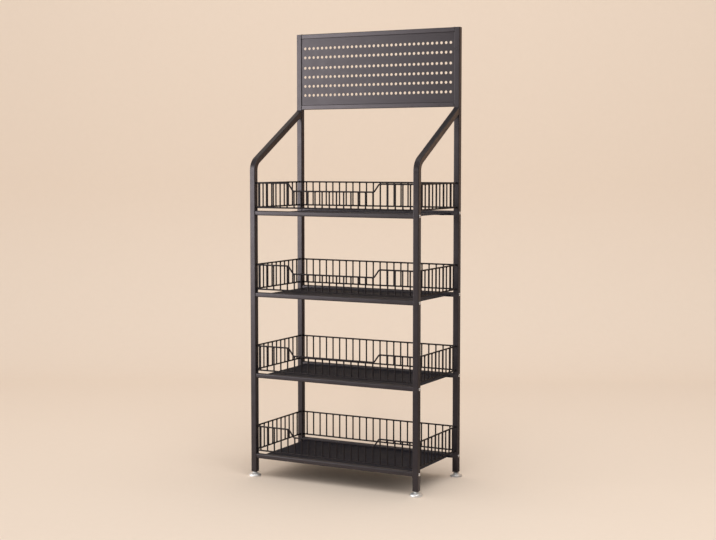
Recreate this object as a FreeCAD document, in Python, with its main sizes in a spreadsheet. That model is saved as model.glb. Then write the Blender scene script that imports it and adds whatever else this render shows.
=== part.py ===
# Snack display rack: a welded stand of square tube whose front legs bend back to the rear legs, a perforated
# header between the rear legs, and four bolted-in shelves, each with a wire fence that dips at the front.
# +Z is up, the front faces -Y, and the origin is on the floor under the middle of the rack. Millimetres.
import FreeCAD, Part
import math
import os
import Sketcher

doc = FreeCAD.newDocument("snack_display_rack")

# Driving sizes: name, value, meaning
SIZES = (
    ("rack_width", 600, "over the outer faces of the posts"),
    ("rack_depth", 318, "front face of the front posts to back face of the rear posts"),
    ("post_size", 19, "square post tube"),
    ("post_wall", 1.5, "wall of the post tube"),
    ("post_corner", 1.2, "bevel of the post tube's outer corners"),
    ("leg_height", 16, "floor to the lower end of the posts"),
    ("bend_clearance", 36.6, "top of the highest fence to the start of the front posts' bend"),
    ("bend_radius", 40, "front posts' bend, on the centre line"),
    ("rake_angle", 30, "rise of the front posts' upper run, degrees above level"),
    ("header_clearance", 2.8, "front posts' upper ends to the header's underside"),
    ("header_height", 252, "header frame, over both rails"),
    ("header_rail", 15, "square header rail tube"),
    ("rail_wall", 1.5, "wall of the header rails"),
    ("panel_recess", 2.5, "header panel behind the front of its frame"),
    ("panel_sheet", 1.2, "header panel thickness"),
    ("hole_size", 9.2, "header panel hole"),
    ("column_pitch", 16.25, "between columns of holes"),
    ("column_margin", 12, "least distance from a hole's centre to the panel's side"),
    ("row_pitch", 30.4, "between rows of holes"),
    ("row_gap", 34.8, "between the upper rows and the lower rows"),
    ("row_margin", 32, "least distance from a hole's centre to a header rail"),
    ("upper_rows", 2, "rows of holes above the gap"),
    ("shelf_count", 4, "shelves"),
    ("shelf_floor", 44.5, "lower end of the posts to the underside of the lowest shelf's bars"),
    ("shelf_pitch", 263, "from shelf to shelf"),
    ("bar_size", 15, "square shelf bar tube"),
    ("bar_wall", 1.5, "wall of the shelf bars"),
    ("deck_sheet", 1.2, "deck sheet thickness"),
    ("deck_sink", 8, "deck below the top of its bars"),
    ("deck_end_gap", 10, "deck's side edge to the post's inner face"),
    ("flange_depth", 5, "deck's turned-down edge, below the sheet"),
    ("rail_wire", 5, "fence rail wire"),
    ("upright_wire", 4.7, "fence upright wire"),
    ("rail_low", 25.4, "lower fence rail above the underside of the bars"),
    ("rail_high", 103.9, "upper fence rail above the underside of the bars"),
    ("dip_depth", 25.2, "drop of the front fence's upper wire"),
    ("dip_run", 9, "middle of that wire's slope to each of its two bends, level"),
    ("long_uprights", 22, "uprights along the front, and along the rear"),
    ("dip_uprights", 12, "front uprights under the dip"),
    ("side_uprights", 10, "uprights along each side"),
    ("side_end_gap", 20.3, "first side upright to the post's face"),
    ("screw_size", 5, "shelf screw shank"),
    ("screw_fit", 0.05, "clearance round a shank"),
    ("head_size", 10.6, "shelf screw head"),
    ("head_height", 3, "shelf screw head"),
    ("head_slope", 38, "flank of the screw head, degrees"),
    ("nut_length", 8, "threaded insert in a bar's end"),
    ("plug_depth", 10, "plug in the top of a rear post"),
    ("insert_length", 24, "threaded insert in a leg's end"),
    ("foot_size", 40, "foot pad, across"),
    ("foot_height", 14, "foot pad"),
    ("foot_rim", 3, "upright rim of the foot pad"),
    ("foot_seat", 16, "flat top of the foot pad, across"),
    ("stem_size", 8, "foot stem"),
    ("stem_fit", 0.05, "clearance round a stem"),
    ("stem_length", 34, "foot stem above its collar"),
    ("collar_size", 13, "collar under the stem, which stops it at the leg"),
)
sheet = doc.addObject("Spreadsheet::Sheet", "Sizes")
for row, (alias, size, meaning) in enumerate(SIZES, 1):
    sheet.set(f"A{row}", str(size))
    sheet.setAlias(f"A{row}", alias)
    sheet.set(f"B{row}", meaning)
doc.recompute()

# Places that several pieces share
POST_X = "(Sizes.rack_width - Sizes.post_size) / 2"
POST_Y = "(Sizes.rack_depth - Sizes.post_size) / 2"
INNER_X = "(Sizes.rack_width / 2 - Sizes.post_size)"
INNER_Y = "(Sizes.rack_depth / 2 - Sizes.post_size)"
POST_BORE = "(Sizes.post_size - 2 * Sizes.post_wall)"
BAR_BORE = "(Sizes.bar_size - 2 * Sizes.bar_wall)"
LOW_SHELF = "(Sizes.leg_height + Sizes.shelf_floor)"
TOP_SHELF = f"({LOW_SHELF} + (Sizes.shelf_count - 1) * Sizes.shelf_pitch)"
SCREW_Z = f"({LOW_SHELF} + Sizes.bar_size / 2)"
SCREW_BORE = "(Sizes.screw_size + 2 * Sizes.screw_fit)"
RAKE = "(Sizes.rake_angle * 1 deg)"
BEND_START = f"({TOP_SHELF} + Sizes.rail_high + Sizes.rail_wire / 2 + Sizes.bend_clearance)"
BEND_RUN = f"(Sizes.bend_radius * (1 - sin({RAKE})))"
BEND_RISE = f"(Sizes.bend_radius * cos({RAKE}))"
RAKE_RISE = f"((2 * {POST_Y} - Sizes.post_size / 2 - {BEND_RUN}) * tan({RAKE}))"
RAKE_TOP = f"({BEND_START} + {BEND_RISE} + {RAKE_RISE} + Sizes.post_size / 2 / cos({RAKE}))"
HEADER_LOW = f"({RAKE_TOP} + Sizes.header_clearance)"
HEADER_HIGH = f"({HEADER_LOW} + Sizes.header_height)"
LONG_PITCH = f"(2 * {INNER_X} / Sizes.long_uprights)"
SIDE_PITCH = f"((2 * {INNER_Y} - 2 * Sizes.side_end_gap) / (Sizes.side_uprights - 1))"
LEVELS = ("bottom", "lower", "upper", "top")
SIDES = (("left", -1), ("right", 1))

# Wires and other small rounds are drawn with few flat sides, at the section area of the round ones
RAIL_SIDES = 6
UPRIGHT_SIDES = 5
HOLE_SIDES = 6
FOOT_SIDES = 16
STEM_SIDES = 8
parts = []


def corner_share(sides):
    """Corner radius of a regular polygon with the area of a circle of radius one."""
    return math.sqrt(2 * math.pi / (sides * math.sin(2 * math.pi / sides)))


RAIL_HALF = f"(Sizes.rail_wire / 2 * {corner_share(RAIL_SIDES) * math.cos(math.pi / RAIL_SIDES):.6f})"


def value(expression):
    """The number that an expression in the sheet's sizes gives."""
    result = sheet.evalExpression(expression)
    return float(getattr(result, "Value", result))


def new_body(label, z=None):
    """A named body, raised by an expression where one is given."""
    body = doc.addObject("PartDesign::Body", label)
    body.Label = label
    body.AllowCompound = True
    if z:
        body.setExpression("Placement.Base.z", z)
    parts.append(body)
    return body


def plane_of(body, role):
    """One of the body's own origin planes."""
    return next(feature for feature in body.Origin.OriginFeatures if feature.Role == role)


def new_sketch(body, role, lift=None):
    """An empty sketch on an origin plane, lifted along the plane's normal where wanted."""
    sketch = body.newObject("Sketcher::SketchObject", f"{body.Name}_sketch")
    sketch.AttachmentSupport = [(plane_of(body, role), "")]
    sketch.MapMode = "FlatFace"
    if lift:
        sketch.setExpression("AttachmentOffset.Base.z", lift)
    return sketch


def bind(sketch, kind, where, expression):
    """Add one dimension to a sketch and tie it to the sheet."""
    index = sketch.addConstraint(Sketcher.Constraint(kind, *where, value(expression)))
    sketch.setExpression(f"Constraints[{index}]", expression)


def add_rectangle(sketch, left, right, low, high):
    """A rectangle whose four sides are tied to the sheet."""
    x0, x1, y0, y1 = (value(side) for side in (left, right, low, high))
    corners = [FreeCAD.Vector(x, y, 0) for x, y in ((x0, y0), (x1, y0), (x1, y1), (x0, y1))]
    first = len(sketch.Geometry)
    for k in range(4):
        sketch.addGeometry(Part.LineSegment(corners[k], corners[(k + 1) % 4]), False)
    for k in range(4):
        sketch.addConstraint(Sketcher.Constraint("Coincident", first + k, 2, first + (k + 1) % 4, 1))
        sketch.addConstraint(Sketcher.Constraint(("Horizontal", "Vertical")[k % 2], first + k))
    bind(sketch, "DistanceX", (-1, 1, first, 1), left)
    bind(sketch, "DistanceX", (-1, 1, first, 2), right)
    bind(sketch, "DistanceY", (-1, 1, first, 1), low)
    bind(sketch, "DistanceY", (-1, 1, first + 2, 1), high)


def add_polygon(sketch, sides, radius, x, y):
    """A regular polygon with a flat at its foot, by its corner radius and centre."""
    r, cx, cy = value(radius), value(x), value(y)
    turn = -math.pi / 2 - math.pi / sides
    corners = [
        FreeCAD.Vector(cx + r * math.cos(turn + 2 * math.pi * k / sides),
                       cy + r * math.sin(turn + 2 * math.pi * k / sides), 0)
        for k in range(sides)
    ]
    first = len(sketch.Geometry)
    for k in range(sides):
        sketch.addGeometry(Part.LineSegment(corners[k], corners[(k + 1) % sides]), False)
    circle = sketch.addGeometry(Part.Circle(FreeCAD.Vector(cx, cy, 0), FreeCAD.Vector(0, 0, 1), r), True)
    for k in range(sides):
        sketch.addConstraint(Sketcher.Constraint("Coincident", first + k, 2, first + (k + 1) % sides, 1))
        sketch.addConstraint(Sketcher.Constraint("PointOnObject", first + k, 1, circle))
        if k:
            sketch.addConstraint(Sketcher.Constraint("Equal", first, first + k))
    sketch.addConstraint(Sketcher.Constraint("Horizontal", first))
    bind(sketch, "Radius", (circle,), radius)
    bind(sketch, "DistanceX", (-1, 1, circle, 3), x)
    bind(sketch, "DistanceY", (-1, 1, circle, 3), y)


def rail_section(sketch, x, y):
    """The section of a fence rail, flat above and below."""
    add_polygon(sketch, RAIL_SIDES, f"Sizes.rail_wire / 2 * {corner_share(RAIL_SIDES):.6f}", x, y)


def upright_section(sketch, x, y):
    """The section of a fence upright."""
    add_polygon(sketch, UPRIGHT_SIDES, f"Sizes.upright_wire / 2 * {corner_share(UPRIGHT_SIDES):.6f}", x, y)


def screw_section(sketch, across, x, y):
    """A square shank, or the bore round one, of the given width."""
    half = f"{across} / 2"
    add_rectangle(sketch, f"{x} - {half}", f"{x} + {half}", f"{y} - {half}", f"{y} + {half}")


def pad(body, sketch, length, both_ways=False):
    """Raise a sketch by a length, along its normal or half to each side."""
    feature = body.newObject("PartDesign::Pad", f"{body.Name}_pad")
    feature.Profile = sketch
    feature.setExpression("Length", length)
    feature.Midplane = both_ways
    body.Tip = feature
    return feature


def cut_through(body, sketch):
    """Cut a sketch right through the body, both ways."""
    feature = body.newObject("PartDesign::Pocket", f"{body.Name}_cut")
    feature.Profile = sketch
    feature.Type = "ThroughAll"
    feature.Midplane = True
    body.Tip = feature
    return feature


def row_of(body, feature, axis, spacing, count):
    """Repeat a feature along an axis of its own sketch."""
    pattern = body.newObject("PartDesign::LinearPattern", f"{body.Name}_row")
    pattern.Originals = [feature]
    pattern.Direction = (feature.Profile[0], [axis])
    pattern.setExpression("Length", f"{spacing} * ({count} - 1)")
    pattern.setExpression("Occurrences", count)
    body.Tip = pattern
    return pattern


def repeat(body, features, rows=(), mirrors=()):
    """Repeat features along sketch axes, each (sketch, axis, spacing, count), then across origin planes."""
    multi = body.newObject("PartDesign::MultiTransform", f"{body.Name}_set")
    multi.Originals = features
    steps = []
    for sketch, axis, spacing, count in rows:
        step = body.newObject("PartDesign::LinearPattern", f"{body.Name}_row")
        step.Direction = (sketch, [axis])
        step.setExpression("Length", f"{spacing} * ({count} - 1)")
        step.setExpression("Occurrences", count)
        steps.append(step)
    for role in mirrors:
        step = body.newObject("PartDesign::Mirrored", f"{body.Name}_mirror")
        step.MirrorPlane = (plane_of(body, role), [""])
        steps.append(step)
    multi.Transformations = steps
    body.Tip = multi
    return multi


def add_post_outline(sketch, x, y):
    """The post's outer section: a square with its corners taken off."""
    half, flat = "Sizes.post_size / 2", "(Sizes.post_size / 2 - Sizes.post_corner)"
    spot = FreeCAD.Vector(value(x), value(y), 0)
    corners = []
    for k in range(4):
        spin = FreeCAD.Rotation(FreeCAD.Vector(0, 0, 1), 90 * k)
        corners += [spot + spin.multVec(FreeCAD.Vector(way * value(flat), -value(half), 0)) for way in (-1, 1)]
    for k in range(8):
        sketch.addGeometry(Part.LineSegment(corners[k], corners[(k + 1) % 8]), False)
    for k in range(8):
        sketch.addConstraint(Sketcher.Constraint("Coincident", k, 2, (k + 1) % 8, 1))
    for line, level, height, along, middle, way in (
            (0, "Y", f"{y} - {half}", "X", x, 1),
            (2, "X", f"{x} + {half}", "Y", y, 1),
            (4, "Y", f"{y} + {half}", "X", x, -1),
            (6, "X", f"{x} - {half}", "Y", y, -1)):
        sketch.addConstraint(Sketcher.Constraint("Horizontal" if level == "Y" else "Vertical", line))
        bind(sketch, f"Distance{level}", (-1, 1, line, 1), height)
        bind(sketch, f"Distance{along}", (-1, 1, line, 1), f"{middle} - {way} * {flat}")
        bind(sketch, f"Distance{along}", (-1, 1, line, 2), f"{middle} + {way} * {flat}")


def add_post_bore(sketch, x, y):
    """The post's square bore."""
    half = f"{POST_BORE} / 2"
    add_rectangle(sketch, f"{x} - {half}", f"{x} + {half}", f"{y} - {half}", f"{y} + {half}")


def cut_screw_holes(body, y):
    """One hole per shelf, right through the post from side to side."""
    sketch = new_sketch(body, "YZ_Plane")
    screw_section(sketch, SCREW_BORE, y, f"{SCREW_Z} - Sizes.leg_height")
    hole = cut_through(body, sketch)
    row_of(body, hole, "V_Axis", "Sizes.shelf_pitch", "Sizes.shelf_count")


# Rear posts: straight square tubes from the feet to the top of the header
for side, sign in SIDES:
    post = new_body(f"{side}_rear_post", "Sizes.leg_height")
    post.setExpression("Placement.Base.x", f"{sign} * {POST_X}")
    section = new_sketch(post, "XY_Plane")
    add_post_outline(section, "0", POST_Y)
    pad(post, section, f"{HEADER_HIGH} - Sizes.leg_height")
    section = new_sketch(post, "XY_Plane")
    add_post_bore(section, "0", POST_Y)
    cut_through(post, section)
    cut_screw_holes(post, POST_Y)

# Front posts: the same tube, bent back above the top shelf and cut to the face of the rear post
for side, sign in SIDES:
    post = new_body(f"{side}_front_post", "Sizes.leg_height")
    post.setExpression("Placement.Base.x", f"{sign} * {POST_X}")
    path = new_sketch(post, "YZ_Plane")
    y0, bend_z, r = -value(POST_Y), value(BEND_START) - value("Sizes.leg_height"), value("Sizes.bend_radius")
    rake, run = math.radians(value("Sizes.rake_angle")), value(BEND_RUN)
    far_y = value(POST_Y)
    far_z = bend_z + value(BEND_RISE) + (far_y - y0 - run) * math.tan(rake)
    bend_end = FreeCAD.Vector(y0 + run, bend_z + value(BEND_RISE), 0)
    path.addGeometry(Part.LineSegment(FreeCAD.Vector(y0, 0, 0), FreeCAD.Vector(y0, bend_z, 0)), False)
    ring = Part.Circle(FreeCAD.Vector(y0 + r, bend_z, 0), FreeCAD.Vector(0, 0, 1), r)
    path.addGeometry(Part.ArcOfCircle(ring, math.pi / 2 + rake, math.pi), False)
    path.addGeometry(Part.LineSegment(bend_end, FreeCAD.Vector(far_y, far_z, 0)), False)
    path.addConstraint(Sketcher.Constraint("Vertical", 0))
    path.addConstraint(Sketcher.Constraint("Tangent", 0, 2, 1, 2))
    path.addConstraint(Sketcher.Constraint("Tangent", 1, 1, 2, 1))
    bind(path, "DistanceX", (-1, 1, 0, 1), f"-{POST_Y}")
    bind(path, "DistanceY", (-1, 1, 0, 1), "0")
    bind(path, "DistanceY", (-1, 1, 0, 2), f"{BEND_START} - Sizes.leg_height")
    bind(path, "Radius", (1,), "Sizes.bend_radius")
    bind(path, "DistanceX", (-1, 1, 2, 2), POST_Y)
    bind(path, "DistanceY", (2, 1, 2, 2), f"(2 * {POST_Y} - {BEND_RUN}) * tan({RAKE})")
    for kind, add_section in (("AdditivePipe", add_post_outline), ("SubtractivePipe", add_post_bore)):
        section = new_sketch(post, "XY_Plane")
        add_section(section, "0", f"-{POST_Y}")
        pipe = post.newObject(f"PartDesign::{kind}", f"{post.Name}_pipe")
        pipe.Profile = section
        pipe.Spine = path
        post.Tip = pipe
    trim = new_sketch(post, "YZ_Plane")
    add_rectangle(trim, INNER_Y, f"{INNER_Y} + 3 * Sizes.post_size", f"{BEND_START} - Sizes.leg_height",
                  f"{HEADER_LOW} + 3 * Sizes.post_size")
    cut_through(post, trim)
    cut_screw_holes(post, f"-{POST_Y}")

# Header: two square rails between the rear posts, flush with the posts' front faces
RAIL_Y = f"({INNER_Y} + Sizes.header_rail / 2)"
RAIL_BORE = "(Sizes.header_rail - 2 * Sizes.rail_wall)"
for end, low in (("bottom", HEADER_LOW), ("top", f"({HEADER_HIGH} - Sizes.header_rail)")):
    rail = new_body(f"header_{end}_rail", low)
    section = new_sketch(rail, "YZ_Plane")
    add_rectangle(section, INNER_Y, f"{INNER_Y} + Sizes.header_rail", "0", "Sizes.header_rail")
    add_rectangle(section, f"{RAIL_Y} - {RAIL_BORE} / 2", f"{RAIL_Y} + {RAIL_BORE} / 2", "Sizes.rail_wall",
                  "Sizes.header_rail - Sizes.rail_wall")
    pad(rail, section, f"2 * {INNER_X}", both_ways=True)

# Header panel: a thin sheet welded inside the header frame, one face with its field of holes, thickened.
# Two rows lie above a wider gap and the others below it; the field is centred in the frame.
panel = doc.addObject("Part::Feature", "header_panel")
half_width = value(INNER_X)
panel_low = value(f"{HEADER_LOW} + Sizes.header_rail")
panel_high = value(f"{HEADER_HIGH} - Sizes.header_rail")
front = value(f"{INNER_Y} + Sizes.panel_recess")
pitch, row_pitch, row_gap = (value(f"Sizes.{name}") for name in ("column_pitch", "row_pitch", "row_gap"))
columns = 1 + int((2 * half_width - 2 * value("Sizes.column_margin")) / pitch)
upper_rows = int(value("Sizes.upper_rows"))
room = panel_high - panel_low - 2 * value("Sizes.row_margin") - (upper_rows - 1) * row_pitch - row_gap
lower_rows = 1 + int(room / row_pitch)
row_heights = [row_gap + row * row_pitch for row in range(upper_rows)]
row_heights += [-row * row_pitch for row in range(lower_rows)]
middle = (max(row_heights) + min(row_heights)) / 2
hole_corner = value("Sizes.hole_size") / 2 * corner_share(HOLE_SIDES)
outline = Part.makePolygon([
    FreeCAD.Vector(x, front, z)
    for x, z in ((-half_width, panel_low), (half_width, panel_low), (half_width, panel_high),
                 (-half_width, panel_high), (-half_width, panel_low))
])
holes = []
for row_height in row_heights:
    z = (panel_low + panel_high) / 2 + row_height - middle
    for column in range(columns):
        x = (column - (columns - 1) / 2) * pitch
        turns = [2 * math.pi * (k + 0.5) / HOLE_SIDES for k in range(HOLE_SIDES + 1)]
        holes.append(Part.makePolygon([
            FreeCAD.Vector(x + hole_corner * math.cos(turn), front, z + hole_corner * math.sin(turn))
            for turn in turns
        ]))
sheet_face = Part.makeFace([outline] + holes, "Part::FaceMakerBullseye")
panel.Shape = sheet_face.extrude(FreeCAD.Vector(0, value("Sizes.panel_sheet"), 0))
panel.Placement = FreeCAD.Placement()
panel.Label = "header_panel"
parts.append(panel)

# Shelves: each is two square bars between the posts, a sunk deck between the bars and a wire fence round it.
# Every piece of a shelf is drawn from the underside of its bars and raised to its level.
for level, name in enumerate(LEVELS[:int(value("Sizes.shelf_count"))]):
    base = f"{LOW_SHELF} + {level} * Sizes.shelf_pitch"

    # Bars: open tubes, centred on the posts
    for end, sign in (("front", -1), ("rear", 1)):
        bar = new_body(f"{name}_shelf_{end}_bar", base)
        section = new_sketch(bar, "YZ_Plane")
        centre = f"{sign} * {POST_Y}"
        add_rectangle(section, f"{centre} - Sizes.bar_size / 2", f"{centre} + Sizes.bar_size / 2", "0",
                      "Sizes.bar_size")
        add_rectangle(section, f"{centre} - {BAR_BORE} / 2", f"{centre} + {BAR_BORE} / 2", "Sizes.bar_wall",
                      "Sizes.bar_size - Sizes.bar_wall")
        pad(bar, section, f"2 * {INNER_X}", both_ways=True)

    # Deck: a flat sheet between the bars with both long edges turned down against them
    deck = new_body(f"{name}_shelf_deck", base)
    deck_top = "(Sizes.bar_size - Sizes.deck_sink)"
    deck_half = f"({POST_Y} - Sizes.bar_size / 2)"
    deck_width = f"2 * ({INNER_X} - Sizes.deck_end_gap)"
    section = new_sketch(deck, "YZ_Plane")
    add_rectangle(section, f"-{deck_half}", deck_half, f"{deck_top} - Sizes.deck_sheet", deck_top)
    pad(deck, section, deck_width, both_ways=True)
    section = new_sketch(deck, "YZ_Plane")
    add_rectangle(section, f"{deck_half} - Sizes.deck_sheet", deck_half,
                  f"{deck_top} - Sizes.deck_sheet - Sizes.flange_depth", f"{deck_top} - Sizes.deck_sheet")
    edge = pad(deck, section, deck_width, both_ways=True)
    repeat(deck, [edge], mirrors=("XZ_Plane",))

    # Straight long rails: upper and lower at the rear, lower at the front
    rails = new_body(f"{name}_fence_long_wires", base)
    section = new_sketch(rails, "YZ_Plane")
    rail_section(section, POST_Y, "Sizes.rail_low")
    rear = pad(rails, section, f"2 * {INNER_X}", both_ways=True)
    row_of(rails, rear, "V_Axis", "(Sizes.rail_high - Sizes.rail_low)", "2")
    section = new_sketch(rails, "YZ_Plane")
    rail_section(section, f"-{POST_Y}", "Sizes.rail_low")
    pad(rails, section, f"2 * {INNER_X}", both_ways=True)

    # Side rails: upper and lower at each end of the shelf
    rails = new_body(f"{name}_fence_side_wires", base)
    section = new_sketch(rails, "XZ_Plane")
    rail_section(section, POST_X, "Sizes.rail_low")
    right = pad(rails, section, f"2 * {INNER_Y}", both_ways=True)
    repeat(rails, [right], rows=((section, "V_Axis", "(Sizes.rail_high - Sizes.rail_low)", "2"),),
           mirrors=("YZ_Plane",))

    # Upper front wire: bent down over the middle of the shelf, drawn from its middle and mirrored
    wire = new_body(f"{name}_fence_front_top_wire", base)
    wire.setExpression("Placement.Base.y", f"-{POST_Y}")
    low_z = "(Sizes.rail_high - Sizes.dip_depth)"
    slope_x = f"(Sizes.dip_uprights * {LONG_PITCH} / 2)"
    path = new_sketch(wire, "XZ_Plane")
    stations = (("0", low_z), (f"{slope_x} - Sizes.dip_run", low_z), (f"{slope_x} + Sizes.dip_run", "Sizes.rail_high"),
                (INNER_X, "Sizes.rail_high"))
    points = [FreeCAD.Vector(value(x), value(z), 0) for x, z in stations]
    for k, (start, end) in enumerate(zip(points, points[1:])):
        path.addGeometry(Part.LineSegment(start, end), False)
        if k:
            path.addConstraint(Sketcher.Constraint("Coincident", k - 1, 2, k, 1))
    for k, (x, z) in enumerate(stations):
        point = (k, 1) if k < 3 else (2, 2)
        bind(path, "DistanceX", (-1, 1, *point), x)
        bind(path, "DistanceY", (-1, 1, *point), z)
    section = new_sketch(wire, "YZ_Plane")
    rail_section(section, "0", low_z)
    pipe = wire.newObject("PartDesign::AdditivePipe", f"{wire.Name}_pipe")
    pipe.Profile = section
    pipe.Spine = path
    pipe.Transition = "Right corner"
    repeat(wire, [pipe], mirrors=("YZ_Plane",))

    # Uprights: short wires between the rails, at one pitch along the front and rear
    foot = f"(Sizes.rail_low + {RAIL_HALF})"
    tall = f"(Sizes.rail_high - Sizes.rail_low - 2 * {RAIL_HALF})"
    first = f"({INNER_X} - {LONG_PITCH} / 2)"
    end_count = "((Sizes.long_uprights - Sizes.dip_uprights) / 2)"
    uprights = new_body(f"{name}_fence_rear_uprights", base)
    section = new_sketch(uprights, "XY_Plane", foot)
    upright_section(section, f"-{first}", POST_Y)
    row_of(uprights, pad(uprights, section, tall), "H_Axis", LONG_PITCH, "Sizes.long_uprights")

    uprights = new_body(f"{name}_fence_front_uprights", base)
    section = new_sketch(uprights, "XY_Plane", foot)
    upright_section(section, f"-{first} + {end_count} * {LONG_PITCH}", f"-{POST_Y}")
    under_dip = pad(uprights, section, f"{tall} - Sizes.dip_depth")
    row_of(uprights, under_dip, "H_Axis", LONG_PITCH, "Sizes.dip_uprights")
    section = new_sketch(uprights, "XY_Plane", foot)
    upright_section(section, f"-{first}", f"-{POST_Y}")
    end_upright = pad(uprights, section, tall)
    repeat(uprights, [end_upright], rows=((section, "H_Axis", LONG_PITCH, end_count),), mirrors=("YZ_Plane",))

    for side, sign in SIDES:
        uprights = new_body(f"{name}_fence_{side}_uprights", base)
        section = new_sketch(uprights, "XY_Plane", foot)
        upright_section(section, f"{sign} * {POST_X}", f"-{INNER_Y} + Sizes.side_end_gap")
        row_of(uprights, pad(uprights, section, tall), "V_Axis", SIDE_PITCH, "Sizes.side_uprights")

# Threaded inserts in the ends of the shelf bars
nuts = new_body("bar_end_nuts", SCREW_Z)
section = new_sketch(nuts, "YZ_Plane", f"{INNER_X} - Sizes.nut_length")
add_rectangle(section, f"{POST_Y} - {BAR_BORE} / 2", f"{POST_Y} + {BAR_BORE} / 2", f"-{BAR_BORE} / 2",
              f"{BAR_BORE} / 2")
screw_section(section, SCREW_BORE, POST_Y, "0")
block = pad(nuts, section, "Sizes.nut_length")
repeat(nuts, [block], rows=((section, "V_Axis", "Sizes.shelf_pitch", "Sizes.shelf_count"),),
       mirrors=("YZ_Plane", "XZ_Plane"))

# Shelf screws: dome heads on the posts' outer faces, shanks through the posts into the inserts
screws = new_body("shelf_screws", SCREW_Z)
section = new_sketch(screws, "YZ_Plane", INNER_X + " - Sizes.nut_length")
screw_section(section, "Sizes.screw_size", POST_Y, "0")
shank = pad(screws, section, "Sizes.post_size + Sizes.nut_length")
section = new_sketch(screws, "YZ_Plane", "Sizes.rack_width / 2")
add_polygon(section, STEM_SIDES, "Sizes.head_size / 2", POST_Y, "0")
head = pad(screws, section, "Sizes.head_height")
head.setExpression("TaperAngle", "-Sizes.head_slope")
repeat(screws, [shank, head], rows=((section, "V_Axis", "Sizes.shelf_pitch", "Sizes.shelf_count"),),
       mirrors=("YZ_Plane", "XZ_Plane"))

# Plugs that close the open tops of the rear posts
plugs = new_body("post_end_plugs", f"{HEADER_HIGH} - Sizes.plug_depth")
section = new_sketch(plugs, "XY_Plane")
add_post_bore(section, POST_X, POST_Y)
plug = pad(plugs, section, "Sizes.plug_depth")
repeat(plugs, [plug], mirrors=("YZ_Plane",))

# Threaded inserts in the lower ends of the four legs
inserts = new_body("leg_inserts", "Sizes.leg_height")
section = new_sketch(inserts, "XY_Plane")
add_post_bore(section, POST_X, POST_Y)
add_polygon(section, STEM_SIDES, "Sizes.stem_size / 2 + Sizes.stem_fit", POST_X, POST_Y)
insert = pad(inserts, section, "Sizes.insert_length")
repeat(inserts, [insert], mirrors=("YZ_Plane", "XZ_Plane"))

# Levelling feet: a domed pad on the floor, and a stem that screws into the leg down to its collar.
# The pad is a turned form with flat sides: an upright rim, a dome on a quarter ellipse and a flat seat.
DOME_STEPS = (0, 32, 60)
pad_radius, pad_height, rim, seat = (value(f"Sizes.foot_{size}") for size in ("size", "height", "rim", "seat"))
rings = [(pad_radius / 2, 0)]
for step in DOME_STEPS:
    turn = math.radians(step)
    rings.append((pad_radius / 2 * math.cos(turn), rim + (pad_height - rim) * math.sin(turn)))
rings.append((seat / 2, pad_height))
loops = []
for radius, height in rings:
    turns = [2 * math.pi * (k + 0.5) / FOOT_SIDES for k in range(FOOT_SIDES)]
    loops.append([FreeCAD.Vector(radius * math.cos(turn), radius * math.sin(turn), height) for turn in turns])
faces = [Part.Face(Part.makePolygon(loop + loop[:1])) for loop in (loops[0], loops[-1])]
for below, above in zip(loops, loops[1:]):
    for k in range(FOOT_SIDES):
        ahead = (k + 1) % FOOT_SIDES
        corners = [below[k], below[ahead], above[ahead], above[k], below[k]]
        faces.append(Part.Face(Part.makePolygon(corners)))
pad_form = Part.makeSolid(Part.makeShell(faces))
if pad_form.Volume < 0:
    pad_form.reverse()
for side, sign in SIDES:
    for end, way in (("front", -1), ("rear", 1)):
        spot_x, spot_y = f"{sign} * {POST_X}", f"{way} * {POST_Y}"
        foot_pad = doc.addObject("Part::Feature", f"{side}_{end}_foot_pad")
        foot_pad.Label = f"{side}_{end}_foot_pad"
        foot_pad.Shape = pad_form
        foot_pad.Placement = FreeCAD.Placement()
        foot_pad.setExpression("Placement.Base.x", spot_x)
        foot_pad.setExpression("Placement.Base.y", spot_y)
        parts.append(foot_pad)

        stem = new_body(f"{side}_{end}_foot_stem", "Sizes.foot_height")
        stem.setExpression("Placement.Base.x", spot_x)
        stem.setExpression("Placement.Base.y", spot_y)
        section = new_sketch(stem, "XY_Plane")
        add_polygon(section, STEM_SIDES, "Sizes.collar_size / 2", "0", "0")
        pad(stem, section, "Sizes.leg_height - Sizes.foot_height")
        section = new_sketch(stem, "XY_Plane", "Sizes.leg_height - Sizes.foot_height")
        add_polygon(section, STEM_SIDES, "Sizes.stem_size / 2", "0", "0")
        pad(stem, section, "Sizes.stem_length")

# Every piece has to come out whole before any file is written
doc.recompute()
faults = [item.Label for item in doc.Objects if "Invalid" in item.State or "Error" in item.State]
faults += [piece.Label for piece in parts if piece.Shape.isNull() or not piece.Shape.isValid()]
if faults:
    raise RuntimeError(f"pieces that failed: {faults}")
os.makedirs("parts", exist_ok=True)
for piece in parts:
    piece.Shape.exportStep(f"parts/{piece.Label}.step")
print(len(parts), "pieces,", sum(len(piece.Shape.Solids) for piece in parts), "solids")
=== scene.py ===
import math
import random

import bmesh
import bpy
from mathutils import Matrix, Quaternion, Vector


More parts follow.
